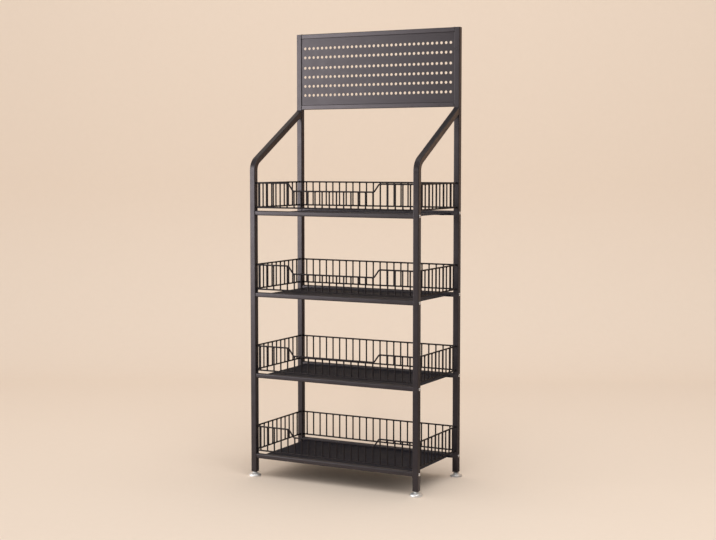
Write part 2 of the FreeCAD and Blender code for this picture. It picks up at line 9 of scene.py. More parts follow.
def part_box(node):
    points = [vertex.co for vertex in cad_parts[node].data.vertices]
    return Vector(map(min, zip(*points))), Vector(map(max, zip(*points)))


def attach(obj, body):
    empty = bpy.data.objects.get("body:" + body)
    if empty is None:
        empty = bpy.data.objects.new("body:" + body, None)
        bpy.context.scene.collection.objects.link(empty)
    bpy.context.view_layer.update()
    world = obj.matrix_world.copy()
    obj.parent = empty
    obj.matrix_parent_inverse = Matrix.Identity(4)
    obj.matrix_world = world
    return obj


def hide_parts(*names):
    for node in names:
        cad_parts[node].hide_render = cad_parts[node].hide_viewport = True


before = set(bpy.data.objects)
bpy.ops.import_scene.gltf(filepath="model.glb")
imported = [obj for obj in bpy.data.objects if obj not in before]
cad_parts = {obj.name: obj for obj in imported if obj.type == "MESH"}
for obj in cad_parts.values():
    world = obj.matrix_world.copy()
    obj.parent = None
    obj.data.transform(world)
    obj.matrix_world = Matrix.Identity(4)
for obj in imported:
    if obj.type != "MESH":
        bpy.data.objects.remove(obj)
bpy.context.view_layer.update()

# Posts: four square steel tubes with rolled corners, open at both ends. The front pair is bent back
# over the top shelf, sawn to the face of the rear pair and welded all round to it. The frame is
# powder coated satin black after welding, so the coat runs over the beads.
SIDES = ("left", "right")
POST, POST_WALL, POST_CORNER, POST_BEAD = 0.019, 0.0015, 0.0023, 0.0013
BEND_RADIUS, BEND_STEPS, RAKE = 0.040, 15, math.radians(30)
X, Y, Z = Vector((1, 0, 0)), Vector((0, 1, 0)), Vector((0, 0, 1))
chance = random.Random(11)


def feed(tree, socket, entry):
    """Gives a shader socket a value, or links another node's output to it."""
    if isinstance(entry, bpy.types.NodeSocket):
        tree.links.new(entry, socket)
    else:
        socket.default_value = entry


def add(tree, kind, *ordered, settings=None, **named):
    """A shader node whose inputs are given in order or by name, as values or as outputs."""
    node = tree.nodes.new("ShaderNode" + kind)
    for key, setting in (settings or {}).items():
        setattr(node, key, setting)
    for key, entry in enumerate(ordered):
        feed(tree, node.inputs[key], entry)
    for key, entry in named.items():
        feed(tree, node.inputs[key.replace("_", " ")], entry)
    return node


def sums(tree, operation, a, b):
    """One step of arithmetic on two values."""
    return add(tree, "Math", a, b, settings={"operation": operation}).outputs[0]


def spread(tree, value, low, high, to_low=0.0, to_high=1.0):
    """A value stretched from one range to another and kept inside it."""
    return add(tree, "MapRange", value, low, high, to_low, to_high).outputs[0]


def blend_tones(tree, share, first, second):
    """A share of the way from a first colour to a second."""
    node = add(tree, "Mix", share, settings={"data_type": "RGBA"})
    for key, tone in ((6, first), (7, second)):
        feed(tree, node.inputs[key], tone)
    return node.outputs[2]


def new_group(name, wants, gives):
    """An empty node group with number inputs and outputs of the given names."""
    tree = bpy.data.node_groups.new(name, "ShaderNodeTree")
    for label, start in wants:
        socket = tree.interface.new_socket(label, in_out="INPUT", socket_type="NodeSocketFloat")
        socket.default_value = start
    for label in gives:
        tree.interface.new_socket(label, in_out="OUTPUT", socket_type="NodeSocketFloat")
    return tree, tree.nodes.new("NodeGroupInput"), tree.nodes.new("NodeGroupOutput")


def use_group(tree, name, **wants):
    """The outputs of a node group placed in a material with its own values."""
    return add(tree, "Group", settings={"node_tree": bpy.data.node_groups[name]}, **wants).outputs


def new_material(name):
    """A material with an empty Principled surface, and its tree and shader."""
    material = bpy.data.materials.new(name)
    material.use_nodes = True
    return material, material.node_tree, material.node_tree.nodes["Principled BSDF"]


def raise_grain(tree, surface, height, strength, depth):
    """A fine relief on a surface, from a height."""
    bump = add(tree, "Bump", Strength=strength, Distance=depth, Height=height)
    feed(tree, surface.inputs["Normal"], bump.outputs[0])


# Powder coat sprays on as fine dust and flows out when baked: a fine grain over a slow orange peel
MM_PER_METRE = 1000.0
PEEL_SHARE, GRAIN_SHARE = 0.7, 0.3
tree, wants, gives = new_group("powder_grain", [("Peel Size", 4.0)], ["Height", "Mottle"])
place = add(tree, "NewGeometry").outputs["Position"]
peel_scale = sums(tree, "DIVIDE", MM_PER_METRE, wants.outputs["Peel Size"])
peel = add(tree, "TexNoise", Vector=place, Scale=peel_scale, Detail=2.0).outputs[0]
grain = add(tree, "TexNoise", Vector=place, Scale=1500.0, Detail=3.0).outputs[0]
peel, grain = sums(tree, "MULTIPLY", peel, PEEL_SHARE), sums(tree, "MULTIPLY", grain, GRAIN_SHARE)
feed(tree, gives.inputs["Height"], sums(tree, "ADD", peel, grain))
cloud = add(tree, "TexNoise", Vector=place, Scale=28.0, Detail=5.0, Roughness=0.65).outputs[0]
feed(tree, gives.inputs["Mottle"], spread(tree, cloud, 0.3, 0.7))

# Dust lies on whatever faces up, thicker in patches
STEEPEST, LEAST_PATCH = 0.55, 0.25
tree, wants, gives = new_group("settled_dust", [("Amount", 0.3)], ["Mask"])
geometry = add(tree, "NewGeometry")
upward = add(tree, "SeparateXYZ", geometry.outputs["Normal"]).outputs["Z"]
patches = add(tree, "TexNoise", Vector=geometry.outputs["Position"], Scale=22.0, Detail=6.0,
              Roughness=0.7).outputs[0]
lying = sums(tree, "MULTIPLY", spread(tree, upward, STEEPEST, 1.0),
             spread(tree, patches, 0.35, 0.75, LEAST_PATCH, 1.0))
feed(tree, gives.inputs["Mask"], sums(tree, "MULTIPLY", lying, wants.outputs["Amount"]))

FRAME_TONE, DUST_TONE = (0.013, 0.0115, 0.013, 1), (0.30, 0.28, 0.26, 1)
SHEEN_TONE, THIN_COAT = (1.0, 0.89, 0.95, 1), 1.35
GLOSS_VARIES, DUST_DULLS = 0.05, 0.4
GLANCE_FROM, GLANCE_FULL = 0.55, 0.95
COAT_GRAIN, COAT_DEPTH = 0.35, 0.00025


def powder_coat(name, tone, roughness, peel_size, dust, sheen=0.5, glance=0.4):
    """A baked coat with a little dust, whose roughness changes by glance where it is seen aslant."""
    material, tree, surface = new_material(name)
    surface.inputs["Specular IOR Level"].default_value = sheen
    surface.inputs["Specular Tint"].default_value = SHEEN_TONE
    coat = use_group(tree, "powder_grain", Peel_Size=peel_size)
    lying = use_group(tree, "settled_dust", Amount=dust)["Mask"]
    thin = [share * THIN_COAT for share in tone[:3]] + [1]
    coloured = blend_tones(tree, coat["Mottle"], tone, thin)
    feed(tree, surface.inputs["Base Color"], blend_tones(tree, lying, coloured, DUST_TONE))
    gloss = spread(tree, coat["Mottle"], 0.0, 1.0, roughness - GLOSS_VARIES, roughness + GLOSS_VARIES)
    gloss = sums(tree, "ADD", gloss, sums(tree, "MULTIPLY", lying, DUST_DULLS))
    facing = add(tree, "LayerWeight", 0.5).outputs["Facing"]
    aside = spread(tree, facing, GLANCE_FROM, GLANCE_FULL, 0.0, glance)
    feed(tree, surface.inputs["Roughness"], sums(tree, "ADD", gloss, aside))
    raise_grain(tree, surface, coat["Height"], COAT_GRAIN, COAT_DEPTH)
    return material


def rounded_square(half, corner, steps=5):
    """Points round a square section with rounded corners."""
    points = []
    for k, (way_u, way_v) in enumerate(((1, 1), (-1, 1), (-1, -1), (1, -1))):
        for step in range(steps + 1):
            turn = (k + step / steps) * math.pi / 2
            points.append(((half - corner) * way_u + corner * math.cos(turn),
                           (half - corner) * way_v + corner * math.sin(turn)))
    return points


def round_section(radius, sides, start=0.0):
    """Points round a circle."""
    turns = [start + 2 * math.pi * k / sides for k in range(sides)]
    return [(radius * math.cos(turn), radius * math.sin(turn)) for turn in turns]


def place_ring(bm, section, origin, across, over):
    """A section's points set out in space."""
    return [bm.verts.new(origin + across * u + over * v) for u, v in section]


def skin(bm, rings, ends=False):
    """Faces between rings that follow one another, and over the first and last where they close."""
    for low, high in zip(rings, rings[1:]):
        for k in range(len(low)):
            after = (k + 1) % len(low)
            bm.faces.new((low[k], low[after], high[after], high[k]))
    if ends:
        bm.faces.new(rings[0])
        bm.faces.new(rings[-1])


def square_tube(bm, stations, width, wall, corner, cut_at_y=None, least_corner=0.0005):
    """An open square tube through (origin, across, over), with its last end sawn at a depth."""
    shells = []
    for inset in (0, wall):
        section = rounded_square(width / 2 - inset, max(corner - inset, least_corner))
        rings = [place_ring(bm, section, *station) for station in stations]
        if cut_at_y is not None:
            along = (stations[-1][0] - stations[-2][0]).normalized()
            for vert in rings[-1]:
                vert.co += along * ((cut_at_y - vert.co.y) / along.y)
        skin(bm, rings)
        shells.append(rings)
    outer, inner = shells
    for end in (0, -1):
        skin(bm, [outer[end], inner[end]])


def sweep_wire(bm, points, radii, sides=12):
    """A round wire through points, with a radius at each and closed ends."""
    rings = []
    over = Z if abs((points[1] - points[0]).normalized().z) < 0.9 else Y
    for k, (point, radius) in enumerate(zip(points, radii)):
        along = (points[min(k + 1, len(points) - 1)] - points[max(k - 1, 0)]).normalized()
        across = along.cross(over).normalized()
        over = across.cross(along)
        rings.append(place_ring(bm, round_section(radius, sides), point, across, over))
    skin(bm, rings, ends=True)


# Each drop of a weld bead freezes over the last and leaves a ripple
DROP_STEP, DROP_TURN, DROP_SHAKE = 0.0005, 0.9, 0.2
DROP_LEAST, DROP_RISE, BEAD_TAPER = 0.85, 0.3, 0.3
BEAD_ROUND = ((-0.8, -1), (0.8, -1), (1, -0.8), (1, 0.8),
              (0.8, 1), (-0.8, 1), (-1, 0.8), (-1, -0.8))


def weld_bead(bm, corners, radius, closed=True):
    """A rippled weld bead along a line of corners."""
    following = corners[1:] + corners[:1] if closed else corners[1:]
    points = []
    for start, end in zip(corners, following):
        count = max(2, round((end - start).length / DROP_STEP))
        points += [start.lerp(end, k / count) for k in range(count)]
    points.append(corners[0] if closed else corners[-1])
    ripples = [abs(math.sin(k * DROP_TURN + chance.uniform(-DROP_SHAKE, DROP_SHAKE)))
               for k in range(len(points))]
    radii = [radius * (DROP_LEAST + DROP_RISE * ripple) for ripple in ripples]
    if not closed:
        radii[0] = radii[-1] = radius * BEAD_TAPER
    sweep_wire(bm, points, radii, sides=8)


def bead_corners(centre, across, over):
    """The corners of a bead that runs round the end of a square tube."""
    return [centre + across * u + over * v for u, v in BEAD_ROUND]


def make_piece(name, bm, material, sharp=35):
    """An object from a mesh in the making, smooth up to a sharp angle, with its flats kept flat."""
    bmesh.ops.recalc_face_normals(bm, faces=bm.faces)
    mesh = bpy.data.meshes.new(name)
    bm.to_mesh(mesh)
    bm.free()
    mesh.polygons.foreach_set("use_smooth", [True] * len(mesh.polygons))
    mesh.set_sharp_from_angle(angle=math.radians(sharp))
    mesh.materials.append(material)
    piece = bpy.data.objects.new(name, mesh)
    piece.modifiers.new("flats_stay_flat", "WEIGHTED_NORMAL").keep_sharp = True
    bpy.context.collection.objects.link(piece)
    return piece


frame_coat = powder_coat("frame_powder_coat", FRAME_TONE, roughness=0.31, peel_size=4.0, dust=0.03)
for side in SIDES:
    low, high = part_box(f"{side}_rear_post")
    axis = (low + high) / 2
    stations = [(Vector((axis.x, axis.y, z)), X, Y) for z in (low.z, high.z)]
    bm = bmesh.new()
    square_tube(bm, stations, POST, POST_WALL, POST_CORNER)
    post = make_piece(f"{side}_rear_tube", bm, frame_coat)
    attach(post, "rack")
    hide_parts(f"{side}_rear_post")

    rear_face = low.y
    low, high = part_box(f"{side}_front_post")
    front, sawn_half = low.y + POST / 2, POST / 2 / math.cos(RAKE)
    joint = Vector((axis.x, rear_face, high.z - sawn_half))
    bend_end_y = front + BEND_RADIUS * (1 - math.sin(RAKE))
    bend_end_z = joint.z - (rear_face - bend_end_y) * math.tan(RAKE)
    centre = Vector((axis.x, front + BEND_RADIUS, bend_end_z - BEND_RADIUS * math.cos(RAKE)))
    stations = [(Vector((axis.x, front, low.z)), X, Y)]
    for step in range(BEND_STEPS + 1):
        turn = step / BEND_STEPS * (math.pi / 2 - RAKE)
        inward = Y * math.cos(turn) - Z * math.sin(turn)
        stations.append((centre - inward * BEND_RADIUS, X, inward))
    stations.append((joint, X, inward))
    bm = bmesh.new()
    square_tube(bm, stations, POST, POST_WALL, POST_CORNER, cut_at_y=rear_face)
    weld_bead(bm, bead_corners(joint, X * POST / 2, Z * sawn_half), POST_BEAD)
    post = make_piece(f"{side}_front_tube", bm, frame_coat)
    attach(post, "rack")
    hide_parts(f"{side}_front_post")

# Header rails: two lengths of smaller square tube between the rear posts, set flush with the posts'
# front faces and welded round their ends.
RAIL_CORNER, RAIL_BEAD = 0.0018, 0.0011
header_coat = powder_coat("header_powder_coat", FRAME_TONE, roughness=0.31, peel_size=4.0,
                          dust=0.03, sheen=0.60)


def cross_tube(bm, low, high, corner):
    """A square tube that lies across the rack in a box, the middles of its ends and its width."""
    middle, width = (low + high) / 2, high.z - low.z
    ends = [Vector((x, middle.y, middle.z)) for x in (low.x, high.x)]
    square_tube(bm, [(spot, Y, Z) for spot in ends], width, POST_WALL, corner)
    return ends, width


for end in ("top", "bottom"):
    bm = bmesh.new()
    spots, width = cross_tube(bm, *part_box(f"header_{end}_rail"), RAIL_CORNER)
    for spot in spots:
        weld_bead(bm, bead_corners(spot, Y * width / 2, Z * width / 2), RAIL_BEAD)
    rail = make_piece(f"header_{end}_tube", bm, header_coat)
    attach(rail, "rack")
    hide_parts(f"header_{end}_rail")

# Header panel: a thin steel sheet punched with rows of round holes for hooks, set back in the header
# frame. The punch rounds the holes' edges, and short weld stitches behind hold the sheet to the rails.
HOLE, HOLE_SIDES, HOLE_LIP, LIP_STEPS = 0.0092, 20, 0.00035, 2
COLUMN_PITCH, COLUMNS = 0.01625, 34
ROW_PITCH, ROW_GAP = 0.0304, 0.0348
SAME_POINT = 0.000001
panel_coat = powder_coat("panel_powder_coat", FRAME_TONE, roughness=0.34, peel_size=3.0,
                         dust=0.03, sheen=0.47)


def weld_stitches(bm, middle, count, pitch, length, radius):
    """A row of short weld beads across the rack."""
    for k in range(count):
        start = middle + X * ((k - (count - 1) / 2) * pitch - length / 2)
        weld_bead(bm, [start, start + X * length], radius, closed=False)


low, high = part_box("header_panel")
rows = [ROW_GAP + ROW_PITCH, ROW_GAP, 0, -ROW_PITCH, -2 * ROW_PITCH, -3 * ROW_PITCH]
row_shift = (low.z + high.z) / 2 - (max(rows) + min(rows)) / 2
outlines = [[(low.x, low.z), (high.x, low.z), (high.x, high.z), (low.x, high.z)]]
for row in rows:
    for column in range(COLUMNS):
        x, z = (column - (COLUMNS - 1) / 2) * COLUMN_PITCH, row + row_shift
        outlines.append([(x + u, z + v) for u, v in round_section(HOLE / 2, HOLE_SIDES)])
sheet_line = bpy.data.curves.new("header_sheet_outline", "CURVE")
sheet_line.dimensions, sheet_line.fill_mode = "2D", "BOTH"
sheet_line.extrude = (high.y - low.y) / 2 - HOLE_LIP
sheet_line.bevel_depth, sheet_line.bevel_resolution = HOLE_LIP, LIP_STEPS
sheet_line.offset = -HOLE_LIP
for outline in outlines:
    spline = sheet_line.splines.new("POLY")
    spline.points.add(len(outline) - 1)
    spline.use_cyclic_u = True
    for point, (x, z) in zip(spline.points, outline):
        point.co = (x, z, 0, 1)
drawn = bpy.data.objects.new("header_sheet_drawn", sheet_line)
bpy.context.collection.objects.link(drawn)
bpy.context.view_layer.update()
cut_sheet = drawn.evaluated_get(bpy.context.evaluated_depsgraph_get())
flat_sheet = bpy.data.meshes.new_from_object(cut_sheet)
bpy.data.objects.remove(drawn)
bm = bmesh.new()
bm.from_mesh(flat_sheet)
bmesh.ops.remove_doubles(bm, verts=bm.verts, dist=SAME_POINT)
for vert in bm.verts:
    vert.co = Vector((vert.co.x, (low.y + high.y) / 2 - vert.co.z, vert.co.y))
for z in (low.z, high.z):
    weld_stitches(bm, Vector((0, high.y, z)), count=7, pitch=0.085, length=0.014, radius=0.0011)
panel = make_piece("header_sheet", bm, panel_coat)
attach(panel, "rack")
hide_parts("header_panel")

# Shelf bars: square tubes across the front and rear of each shelf, butted between the posts and drawn
# up tight by a screw at each end. The deck between them is welded to their inner faces.
LEVELS = ("bottom", "lower", "upper", "top")
BAR_CORNER = 0.0035
bar_coat = powder_coat("bar_powder_coat", FRAME_TONE, roughness=0.33, peel_size=4.0,
                       dust=0.03, sheen=0.55)
for level in LEVELS:
    for end in ("front", "rear"):
        bm = bmesh.new()
        cross_tube(bm, *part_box(f"{level}_shelf_{end}_bar"), BAR_CORNER)
        bar = make_piece(f"{level}_{end}_bar_tube", bm, bar_coat)
        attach(bar, "rack")
        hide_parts(f"{level}_shelf_{end}_bar")

# Decks: a plain steel sheet sunk a little below the bars' tops, with both long edges folded down and
# stitch welded to the bars from below. Thin sheet never lies quite flat, which shows in its sheen.
DECK_SHEET, FOLD_RADIUS, FOLD_STEPS = 0.0012, 0.0018, 5
DECK_ACROSS, DECK_ALONG = 28, 54
SAG, SAG_MIDDLE, SAG_DEPTH = 0.0003, 1.2, 0.0015
WAVE_ALONG, WAVE_ACROSS = 9, 13
DECK_TONE = (0.0100, 0.0106, 0.0190, 1)
deck_coat = powder_coat("deck_powder_coat", DECK_TONE, roughness=0.68, peel_size=5.0,
                        dust=0.02, sheen=0.07, glance=-0.06)


def deck_profile(half, drop, inset):
    """(y, z below the top) over one face of the folded sheet, from one fold's foot to the other's."""
    radius = FOLD_RADIUS - inset
    turns = [k / FOLD_STEPS * math.pi / 2 for k in range(FOLD_STEPS + 1)]
    fold = [(half - FOLD_RADIUS + radius * math.cos(turn), radius * math.sin(turn) - FOLD_RADIUS)
            for turn in turns]
    right = [(half - inset, -drop)] + fold
    flat = [((half - FOLD_RADIUS) * (1 - 2 * k / DECK_ACROSS), -inset) for k in range(1, DECK_ACROSS)]
    return right + flat + [(-y, z) for y, z in reversed(right)]


def lay_strips(bm, strips):
    """Faces between open strips of points that follow one another."""
    for one, two in zip(strips, strips[1:]):
        for k in range(len(one) - 1):
            bm.faces.new((one[k], one[k + 1], two[k + 1], two[k]))


for number, level in enumerate(LEVELS):
    low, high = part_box(f"{level}_shelf_deck")
    half, drop, length = (high.y - low.y) / 2, high.z - low.z, high.x - low.x
    bm = bmesh.new()
    faces = []
    for inset in (0, DECK_SHEET):
        strips = []
        for step in range(DECK_ALONG + 1):
            x = low.x + length * step / DECK_ALONG
            strip = []
            for y, z in deck_profile(half, drop, inset):
                share = math.cos(math.pi * y / 2 / half) * math.cos(math.pi * x / length)
                wave = math.sin(WAVE_ALONG * x + 2 * number) * math.cos(WAVE_ACROSS * y + number)
                sag = SAG * share * (wave - SAG_MIDDLE) if z > -SAG_DEPTH else 0
                strip.append(bm.verts.new((x, y, high.z + z + sag)))
            strips.append(strip)
        lay_strips(bm, strips)
        faces.append(strips)
    upper, under = faces
    for end in (0, -1):
        lay_strips(bm, [upper[end], under[end]])
        lay_strips(bm, [[strip[end] for strip in face] for face in faces])
    for y in (low.y, high.y):
        weld_stitches(bm, Vector((0, y, low.z)), count=5, pitch=0.12, length=0.016, radius=0.0010)
    deck = make_piece(f"{level}_deck_sheet", bm, deck_coat)
    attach(deck, "rack")
    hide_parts(f"{level}_shelf_deck")

# Fences: drawn steel wire round each shelf. Rails run from post to post, short uprights stand between
# them, and the upper front rail is bent down over the middle so that packets can be reached.
# Each wire end is resistance welded, which swells it where it meets the rail or the post.
RAIL_WIRE, UPRIGHT_WIRE = 0.005, 0.0047
RAIL_SWELL, UPRIGHT_SWELL, SWELL_VARIES = 1.3, 1.25, 0.06
WELD_STOPS = ((0, 1), (0.0026, 1), (0.0032, 0.8), (0.0040, 0.3), (0.0052, 0))
LONG_UPRIGHTS, SIDE_UPRIGHTS = 22, 10
DIP_PITCHES, DIP_RUN, DIP_BEND, DIP_STEPS = 6, 0.009, 0.009, 8
WIRE_TONE = (0.008, 0.007, 0.008, 1)
wire_coat = powder_coat("wire_powder_coat", WIRE_TONE, roughness=0.40, peel_size=4.0,
                        dust=0.02, sheen=0.22)


def welded_wire(bm, line, wire, first_swell, last_swell):
    """A wire along a line, swollen by the welds at its ends."""
    setting_out = (line[1] - line[0]).normalized()
    coming_in = (line[-1] - line[-2]).normalized()
    points = [line[0] + setting_out * stop for stop, _ in WELD_STOPS] + line[1:-1]
    points += [line[-1] - coming_in * stop for stop, _ in reversed(WELD_STOPS)]
    growth = [(first_swell - 1) * share for _, share in WELD_STOPS] + [0] * (len(line) - 2)
    growth += [(last_swell - 1) * share for _, share in reversed(WELD_STOPS)]
    sweep_wire(bm, points, [wire / 2 * (1 + grown) for grown in growth])


def straight_wire(bm, start, end, wire, swell):
    """A straight welded wire, no two of whose welds are alike."""
    swells = [chance.uniform(1 - SWELL_VARIES, 1 + SWELL_VARIES) * swell for _ in range(2)]
    welded_wire(bm, [start, end], wire, *swells)


def bent_line(corners, radius, steps):
    """A line through corners with its bends rounded."""
    line = [corners[0]]
    for before, corner, after in zip(corners, corners[1:], corners[2:]):
        to, away = (corner - before).normalized(), (after - corner).normalized()
        turn = to.angle(away)
        middle = corner + (away - to).normalized() * (radius / math.cos(turn / 2))
        start = corner - to * radius * math.tan(turn / 2) - middle
        spin_axis = to.cross(away).normalized()
        for step in range(steps + 1):
            spun = start.copy()
            spun.rotate(Quaternion(spin_axis, turn * step / steps))
            line.append(middle + spun)
    return line + [corners[-1]]


for level in LEVELS:
    low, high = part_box(f"{level}_fence_long_wires")
    low_side, high_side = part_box(f"{level}_fence_side_wires")
    rail_low, rail_high = low.z + RAIL_WIRE / 2, high.z - RAIL_WIRE / 2
    front, rear = low.y + RAIL_WIRE / 2, high.y - RAIL_WIRE / 2
    left, right = low_side.x + RAIL_WIRE / 2, high_side.x - RAIL_WIRE / 2
    runs = {
        "long": [(Vector((low.x, y, z)), Vector((high.x, y, z)))
                 for y, z in ((front, rail_low), (rear, rail_low), (rear, rail_high))],
        "side": [(Vector((x, low_side.y, z)), Vector((x, high_side.y, z)))
                 for x in (left, right) for z in (rail_low, rail_high)]}
    for run, wires in runs.items():
        bm = bmesh.new()
        for start, end in wires:
            straight_wire(bm, start, end, RAIL_WIRE, RAIL_SWELL)
        rails = make_piece(f"{level}_{run}_rail_wires", bm, wire_coat)
        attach(rails, "rack")
        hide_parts(f"{level}_fence_{run}_wires")

    dip_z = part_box(f"{level}_fence_front_top_wire")[0].z + RAIL_WIRE / 2
    pitch = (high.x - low.x) / LONG_UPRIGHTS
    dip_half = DIP_PITCHES * pitch
    corners = [Vector((x, front, z)) for x, z in (
        (low.x, rail_high), (-dip_half - DIP_RUN, rail_high), (-dip_half + DIP_RUN, dip_z),
        (dip_half - DIP_RUN, dip_z), (dip_half + DIP_RUN, rail_high), (high.x, rail_high))]
    bm = bmesh.new()
    welded_wire(bm, bent_line(corners, DIP_BEND, DIP_STEPS), RAIL_WIRE, RAIL_SWELL, RAIL_SWELL)
    rail = make_piece(f"{level}_front_top_rail_wire", bm, wire_coat)
    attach(rail, "rack")
    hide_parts(f"{level}_fence_front_top_wire")

    feet = {}
    for row, y in (("front", front), ("rear", rear)):
        feet[row] = [Vector((low.x + (k + 0.5) * pitch, y, rail_low)) for k in range(LONG_UPRIGHTS)]
    for row, x in (("left", left), ("right", right)):
        low_row, high_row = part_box(f"{level}_fence_{row}_uprights")
        first, last = low_row.y + UPRIGHT_WIRE / 2, high_row.y - UPRIGHT_WIRE / 2
        feet[row] = [Vector((x, first + (last - first) * k / (SIDE_UPRIGHTS - 1), rail_low))
                     for k in range(SIDE_UPRIGHTS)]
    for row, spots in feet.items():
        bm = bmesh.new()
        for spot in spots:
            top = dip_z if row == "front" and abs(spot.x) < dip_half else rail_high
            straight_wire(bm, spot, Vector((spot.x, spot.y, top)), UPRIGHT_WIRE, UPRIGHT_SWELL)
        uprights = make_piece(f"{level}_{row}_upright_wires", bm, wire_coat)
        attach(uprights, "rack")
        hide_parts(f"{level}_fence_{row}_uprights")

# Inserts: zinc plated steel blocks pressed into the bars' ends and the legs' lower ends, threaded for
# the screws and the feet. Only the faces in the legs' ends can be seen, from below.
MARK_STRETCH, METAL_DEPTH = (1.0, 1.0, 5.0), 0.0001
tree, wants, gives = new_group("rubbed_metal", [("Mark Size", 12.0)], ["Smear", "Height"])
place = add(tree, "TexCoord").outputs["Object"]
stretched = add(tree, "Mapping", Vector=place, Scale=MARK_STRETCH).outputs[0]
mark_scale = sums(tree, "DIVIDE", MM_PER_METRE, wants.outputs["Mark Size"])
smear = add(tree, "TexNoise", Vector=stretched, Scale=mark_scale, Detail=5.0, Roughness=0.7).outputs[0]
feed(tree, gives.inputs["Smear"], spread(tree, smear, 0.35, 0.7))
scratches = add(tree, "TexNoise", Vector=place, Scale=900.0, Detail=3.0).outputs[0]
feed(tree, gives.inputs["Height"], scratches)


def bare_metal(name, bright, dull, smooth, rough, mark_size, grain):
    """Metal whose colour and polish change over rubbed marks."""
    material, tree, surface = new_material(name)
    marks = use_group(tree, "rubbed_metal", Mark_Size=mark_size)
    surface.inputs["Metallic"].default_value = 1.0
    feed(tree, surface.inputs["Base Color"], blend_tones(tree, marks["Smear"], bright, dull))
    feed(tree, surface.inputs["Roughness"], spread(tree, marks["Smear"], 0.0, 1.0, smooth, rough))
    raise_grain(tree, surface, marks["Height"], grain, METAL_DEPTH)
    return material


zinc = bare_metal("zinc_plate", bright=(0.62, 0.61, 0.58, 1), dull=(0.46, 0.45, 0.43, 1),
                  smooth=0.28, rough=0.48, mark_size=9.0, grain=0.3)
for node in ("bar_end_nuts", "leg_inserts"):
    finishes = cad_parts[node].data.materials
    for k in range(len(finishes)):
        finishes[k] = zinc

# Shelf screws: chromed button heads on the posts' outer faces, with a hexagon socket for the key. The
# shank runs through the post into the insert in the bar's end and can't be seen.
HEAD, HEAD_HEIGHT, HEAD_SKIRT, HEAD_SIDES = 0.0106, 0.003, 0.0006, 36
SOCKET, SOCKET_TOP, SOCKET_FLOOR = 0.003, 0.0002, 0.0017
head_profile = [(HEAD / 2 * 0.96, 0), (HEAD / 2, HEAD_SKIRT / 2), (HEAD / 2, HEAD_SKIRT)]
head_profile += [(HEAD / 2 * math.cos(t), HEAD_SKIRT + (HEAD_HEIGHT - HEAD_SKIRT) * math.sin(t))
                 for t in (0.25, 0.5, 0.75, 1.0)]
head_profile.append((SOCKET * 0.72, HEAD_HEIGHT))
chrome = bare_metal("chrome_plate", bright=(0.80, 0.80, 0.81, 1), dull=(0.70, 0.70, 0.71, 1),
                    smooth=0.06, rough=0.2, mark_size=7.0, grain=0.08)


def six_sided(across_flats, start=0.0, share=1.0, furthest=2.0):
    """Points round a share of a hexagon, none further out than a multiple of its flats' reach."""
    section = []
    for k in range(HEAD_SIDES):
        turn = 2 * math.pi * k / HEAD_SIDES
        flat = across_flats / 2 / math.cos((turn + math.pi / 6) % (math.pi / 3) - math.pi / 6)
        reach = min(flat * share, across_flats / 2 * furthest)
        section.append((reach * math.cos(turn + start), reach * math.sin(turn + start)))
    return section


low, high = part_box("shelf_screws")
stem_low, stem_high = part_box("left_rear_foot_stem")
post_y = (stem_low.y + stem_high.y) / 2
bm = bmesh.new()
for level in LEVELS:
    bar_low, bar_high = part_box(f"{level}_shelf_front_bar")
    z = (bar_low.z + bar_high.z) / 2
    for way, face in ((-1, low.x + HEAD_HEIGHT), (1, high.x - HEAD_HEIGHT)):
        for y in (-post_y, post_y):
            spin = chance.uniform(0, math.pi / 3)
            sections = [(round_section(radius, HEAD_SIDES, spin), out) for radius, out in head_profile]
            sections += [(six_sided(SOCKET, spin), HEAD_HEIGHT - down)
                         for down in (SOCKET_TOP, SOCKET_FLOOR)]
            skin(bm, [place_ring(bm, section, Vector((face + way * out, y, z)), Y, Z)
                      for section, out in sections], ends=True)
screws = make_piece("shelf_screw_heads", bm, chrome, sharp=50)
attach(screws, "rack")
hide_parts("shelf_screws")

# Post plugs: caps pushed flush into the open tops of the rear posts. They are moulded in black
# plastic with a fine pebbled skin, and their edges are softened.
PLUG_CORNER, PLUG_DEPTH = 0.0012, 0.0001
PLUG_EDGE = ((0, -0.0009), (0.0002, -0.0004), (0.0008, 0), (0.004, 0.0002))
PLUG_DARK, PLUG_LIGHT = (0.018, 0.018, 0.019, 1), (0.030, 0.030, 0.031, 1)
tree, wants, gives = new_group("moulded_skin", [("Grain Size", 0.8)], ["Height", "Sheen"])
place = add(tree, "TexCoord").outputs["Object"]
pebble_scale = sums(tree, "DIVIDE", MM_PER_METRE, wants.outputs["Grain Size"])
pebbles = add(tree, "TexVoronoi", Vector=place, Scale=pebble_scale).outputs["Distance"]
feed(tree, gives.inputs["Height"], pebbles)
sheen = add(tree, "TexNoise", Vector=place, Scale=160.0, Detail=4.0).outputs[0]
feed(tree, gives.inputs["Sheen"], spread(tree, sheen, 0.3, 0.7))
plastic, tree, surface = new_material("moulded_plastic")
moulded = use_group(tree, "moulded_skin", Grain_Size=0.8)
feed(tree, surface.inputs["Base Color"], blend_tones(tree, moulded["Sheen"], PLUG_DARK, PLUG_LIGHT))
feed(tree, surface.inputs["Roughness"], spread(tree, moulded["Sheen"], 0.0, 1.0, 0.45, 0.62))
raise_grain(tree, surface, moulded["Height"], 0.4, PLUG_DEPTH)
low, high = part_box("post_end_plugs")
half = POST / 2 - POST_WALL
bm = bmesh.new()
for x in (low.x + half, high.x - half):
    skin(bm, [place_ring(bm, rounded_square(half - inset, PLUG_CORNER),
                         Vector((x, (low.y + high.y) / 2, z)), X, Y)
              for inset, z in [(0, low.z)] + [(inset, high.z + up) for inset, up in PLUG_EDGE]],
         ends=True)
plugs = make_piece("post_top_caps", bm, plastic, sharp=50)
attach(plugs, "rack")
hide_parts("post_end_plugs")

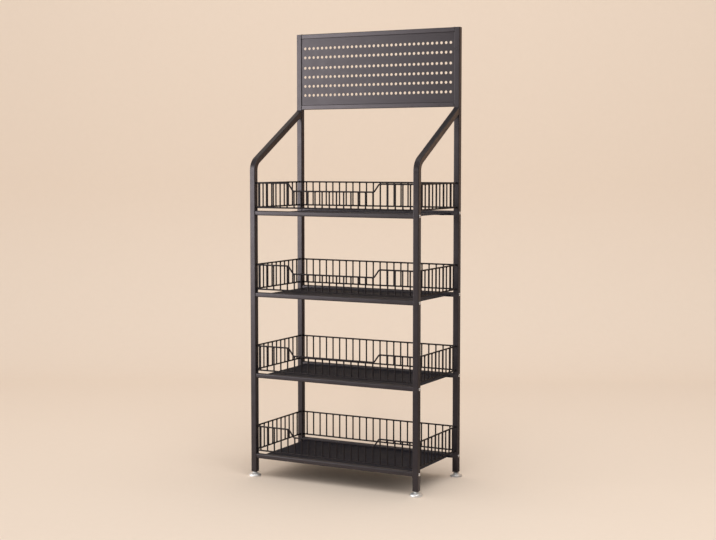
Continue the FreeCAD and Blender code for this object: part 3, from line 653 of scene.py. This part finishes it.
# Levelling feet: a chromed pressed dome on the floor, and a zinc plated threaded stem with a six-sided
# collar. The stem screws into the leg's insert, so each foot can be run down to level the rack.
FOOT_RADIUS, FOOT_RIM, FOOT_SIDES = 0.020, 0.003, 64
FOOT_EDGE = ((0.0012, 0), (0.0003, 0.0003), (0, 0.001))
DOME_DROP, DOME_TURNS = 0.0012, [math.radians(6 * k) for k in range(11)]
SEAT_RADIUS, SEAT_INSIDE = 0.008, 0.004
SEAT_EDGE = ((0.0012, 0.0014), (0.0004, 0.0011), (0, 0.0004), (-0.0004, 0))
COLLAR, COLLAR_EDGE = 0.0122, 0.0004
THREAD, THREAD_PITCH, THREAD_DEPTH, THREAD_FADE = 0.0074, 0.00125, 0.00065, 0.0008
THREAD_STEPS, THREAD_SIDES = 8, 32
stem_zinc = bare_metal("stem_zinc_plate", bright=(0.66, 0.65, 0.62, 1), dull=(0.50, 0.49, 0.46, 1),
                       smooth=0.25, rough=0.45, mark_size=4.0, grain=0.2)
foot_chrome = bare_metal("foot_chrome_plate", bright=(0.94, 0.94, 0.94, 1), dull=(0.84, 0.84, 0.85, 1),
                         smooth=0.46, rough=0.60, mark_size=14.0, grain=0.06)
for side in SIDES:
    for end in ("front", "rear"):
        foot = f"{side}_{end}_foot"
        low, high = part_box(f"{foot}_pad")
        spot, tall = (low + high) / 2, high.z - low.z
        profile = [(FOOT_RADIUS - inset, low.z + up) for inset, up in FOOT_EDGE]
        profile += [(FOOT_RADIUS * math.cos(turn),
                     FOOT_RIM + (tall - DOME_DROP - FOOT_RIM) * math.sin(turn)) for turn in DOME_TURNS]
        profile += [(SEAT_RADIUS + out, tall - down) for out, down in SEAT_EDGE]
        profile.append((SEAT_INSIDE, tall))
        bm = bmesh.new()
        skin(bm, [place_ring(bm, round_section(radius, FOOT_SIDES), Vector((spot.x, spot.y, z)), X, Y)
                  for radius, z in profile], ends=True)
        dome = make_piece(f"{foot}_dome", bm, foot_chrome)
        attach(dome, foot)
        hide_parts(f"{foot}_pad")

        low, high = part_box(f"{foot}_stem")
        collar_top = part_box(f"{side}_{end}_post")[0].z
        length = high.z - collar_top
        sections = [(six_sided(COLLAR, share=share, furthest=furthest), z) for share, furthest, z in (
            (0.93, 1.0, low.z), (1, 1.1, low.z + COLLAR_EDGE), (1, 1.1, collar_top - COLLAR_EDGE),
            (0.93, 1.0, collar_top), (0.5, 1.0, collar_top))]
        bm = bmesh.new()
        skin(bm, [place_ring(bm, section, Vector((spot.x, spot.y, z)), X, Y)
                  for section, z in sections], ends=True)
        rings = []
        steps = round(length / THREAD_PITCH * THREAD_STEPS)
        for step in range(steps + 1):
            up = length * step / steps
            fade = min(1, (length - up) / THREAD_FADE)
            section = []
            for k in range(THREAD_SIDES):
                turn = 2 * math.pi * k / THREAD_SIDES
                phase = (up / THREAD_PITCH - k / THREAD_SIDES) % 1
                cut = THREAD_DEPTH * abs(2 * phase - 1)
                radius = THREAD / 2 - THREAD_DEPTH + (THREAD_DEPTH - cut) * fade
                section.append((radius * math.cos(turn), radius * math.sin(turn)))
            rings.append(place_ring(bm, section, Vector((spot.x, spot.y, collar_top + up)), X, Y))
        skin(bm, rings, ends=True)
        stem = make_piece(f"{foot}_threaded_stem", bm, stem_zinc, sharp=50)
        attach(stem, foot)
        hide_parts(f"{foot}_stem")

# Floor and backdrop: one sheet of pale studio paper, swept up behind the rack. It faces the camera and
# lets light and sight through from behind, so the rack can be seen from all round.
VIEW_TURN = 0.48814
PAPER_HALF, PAPER_TOP, CURL_START, CURL = 5.0, 4.2, 1.9, 0.9
PAPER_TONES = (0.84, 0.72, 0.61, 1), (0.86, 0.74, 0.63, 1)
ahead = Vector((-math.sin(VIEW_TURN), math.cos(VIEW_TURN), 0))
across = Vector((math.cos(VIEW_TURN), math.sin(VIEW_TURN), 0))


def stage_piece(name, bm, material):
    """A smooth object of the studio, which isn't part of the rack."""
    mesh = bpy.data.meshes.new(name)
    bm.to_mesh(mesh)
    bm.free()
    mesh.polygons.foreach_set("use_smooth", [True] * len(mesh.polygons))
    mesh.materials.append(material)
    piece = bpy.data.objects.new(name, mesh)
    bpy.context.collection.objects.link(piece)
    return piece


paper, tree, surface = new_material("studio_paper")
place = add(tree, "NewGeometry")
fibre = add(tree, "TexNoise", Vector=place.outputs["Position"], Scale=40.0, Detail=4.0).outputs[0]
feed(tree, surface.inputs["Base Color"], blend_tones(tree, fibre, *PAPER_TONES))
surface.inputs["Roughness"].default_value = 0.85
surface.inputs["Specular IOR Level"].default_value = 0.2
clear = add(tree, "BsdfTransparent")
either = add(tree, "MixShader", place.outputs["Backfacing"], surface.outputs[0], clear.outputs[0])
feed(tree, tree.nodes["Material Output"].inputs["Surface"], either.outputs[0])
profile = [(-PAPER_HALF, 0.0), (-1.2, 0.0), (0.0, 0.0), (CURL_START, 0.0)]
profile += [(CURL_START + CURL * math.sin(turn), CURL - CURL * math.cos(turn))
            for turn in (math.radians(7.5 * k) for k in range(1, 13))]
profile.append((CURL_START + CURL, PAPER_TOP))
bm = bmesh.new()
lay_strips(bm, [[bm.verts.new(across * x + ahead * y + Z * z) for x in (-PAPER_HALF, PAPER_HALF)]
                for y, z in profile])
sweep = stage_piece("studio_paper_sweep", bm, paper)

# Studio light: a tall soft box to the front left for the sheen on the front faces, kept off the paper,
# a wide one overhead and one on the paper behind. The room is bright for the paper and dim in
# reflections, and four cards that show only in reflections put painted reflections on the rack:
# painted shade on the right-hand and lower faces, and a painted warm highlight on the right-hand
# faces.
CARD_LIFT, CARD_ROUGHNESS = 0.002, 0.9
ROOM_TONE, MIRRORED_TONE = (0.86, 0.83, 0.80, 1), (0.33, 0.30, 0.27, 1)
BEYOND_PAPER = (0.741, 0.610, 0.497, 1)
for name, spot, aim, width, height, roll, power in (
        ("key_box", Vector((-2.33, -2.36, 1.28)), Vector((0, 0, 1.05)), 1.80, 2.1, 15, 74),
        ("top_box", Vector((0.9, -1.3, 3.3)), Vector((0, 0.3, 0.2)), 2.0, 2.0, 0, 30),
        ("paper_box", ahead * 0.35 + Z * 3.3, ahead * 2.8 + Z * 0.9, 2.4, 0.6, 0, 8)):
    lamp = bpy.data.lights.new(name, "AREA")
    lamp.shape, lamp.size, lamp.size_y, lamp.energy = "RECTANGLE", width, height, power
    box = bpy.data.objects.new(name, lamp)
    box.location = spot
    turned = (aim - spot).to_track_quat("-Z", "Y")
    turned.rotate(Quaternion((aim - spot).normalized(), math.radians(roll)))
    box.rotation_euler = turned.to_euler()
    box.visible_camera = False
    bpy.context.collection.objects.link(box)
    if name == "key_box":
        off_paper = bpy.data.collections.new("kept_out_of_key_box")
        off_paper.objects.link(sweep)
        off_paper.collection_objects[0].light_linking.link_state = "EXCLUDE"
        box.light_linking.receiver_collection = off_paper


def upright_card(near, far, low, high):
    """The corners of a card that stands from a near to a far line."""
    return [near + Z * low, far + Z * low, far + Z * high, near + Z * high]


def flat_card(left, right, near, far):
    """The corners of a card that lies on the floor, as seen from the camera."""
    return [across * u + ahead * v + Z * CARD_LIFT
            for u, v in ((left, near), (right, near), (right, far), (left, far))]


# Painted reflections: the brown board and the two floor cards give painted shade in the reflections of
# the right-hand and lower faces, and the cream card gives a painted warm highlight on the right-hand
# faces.
for name, tone, corners in (
        ("reflected_shade_board", (0.16, 0.09, 0.05, 1),
         upright_card(across * 1.55 + ahead * 1.08, across * 2.05 + ahead * 2.7, 0, 2.6)),
        ("reflected_warm_highlight_card", (0.95, 0.70, 0.50, 1),
         upright_card(across * 1.5 + ahead * 0.2, across * 1.5 + ahead * 1.05, 0.8, 2.2)),
        ("right_reflected_shade_card", (0.24, 0.19, 0.15, 1), flat_card(0, 3, -0.1, 1.9)),
        ("left_reflected_shade_card", (0.34, 0.30, 0.30, 1), flat_card(-2.8, 0, -2.6, -0.5))):
    paint, tree, surface = new_material(f"{name}_paint")
    surface.inputs["Base Color"].default_value = tone
    surface.inputs["Roughness"].default_value = CARD_ROUGHNESS
    bm = bmesh.new()
    bm.faces.new([bm.verts.new(corner) for corner in corners])
    card = stage_piece(name, bm, paint)
    # Only glossy rays see a card, so each one is nothing but a painted reflection.
    card.visible_camera = card.visible_diffuse = card.visible_shadow = False

world = bpy.data.worlds.new("studio_room")
world.use_nodes = True
tree = world.node_tree
rays = add(tree, "LightPath").outputs
room = blend_tones(tree, rays["Is Glossy Ray"], ROOM_TONE, MIRRORED_TONE)
room = blend_tones(tree, rays["Is Camera Ray"], room, BEYOND_PAPER)
feed(tree, tree.nodes["Background"].inputs["Color"], room)
bpy.context.scene.world = world
bpy.context.scene.view_settings.view_transform = "Standard"

# Camera: a long lens at chest height to the front right of the rack, tipped a little down.
# It stands as far off as the photograph's perspective asks for.
camera = bpy.data.cameras.new("camera")
camera.lens, camera.sensor_width, camera.shift_y = 68.413, 36, -0.02
camera_stand = bpy.data.objects.new("camera", camera)
camera_stand.location = (2.05743, -3.85729, 1.02446)
camera_stand.rotation_euler = (1.50114, 0, VIEW_TURN)
bpy.context.collection.objects.link(camera_stand)
bpy.context.scene.camera = camera_stand
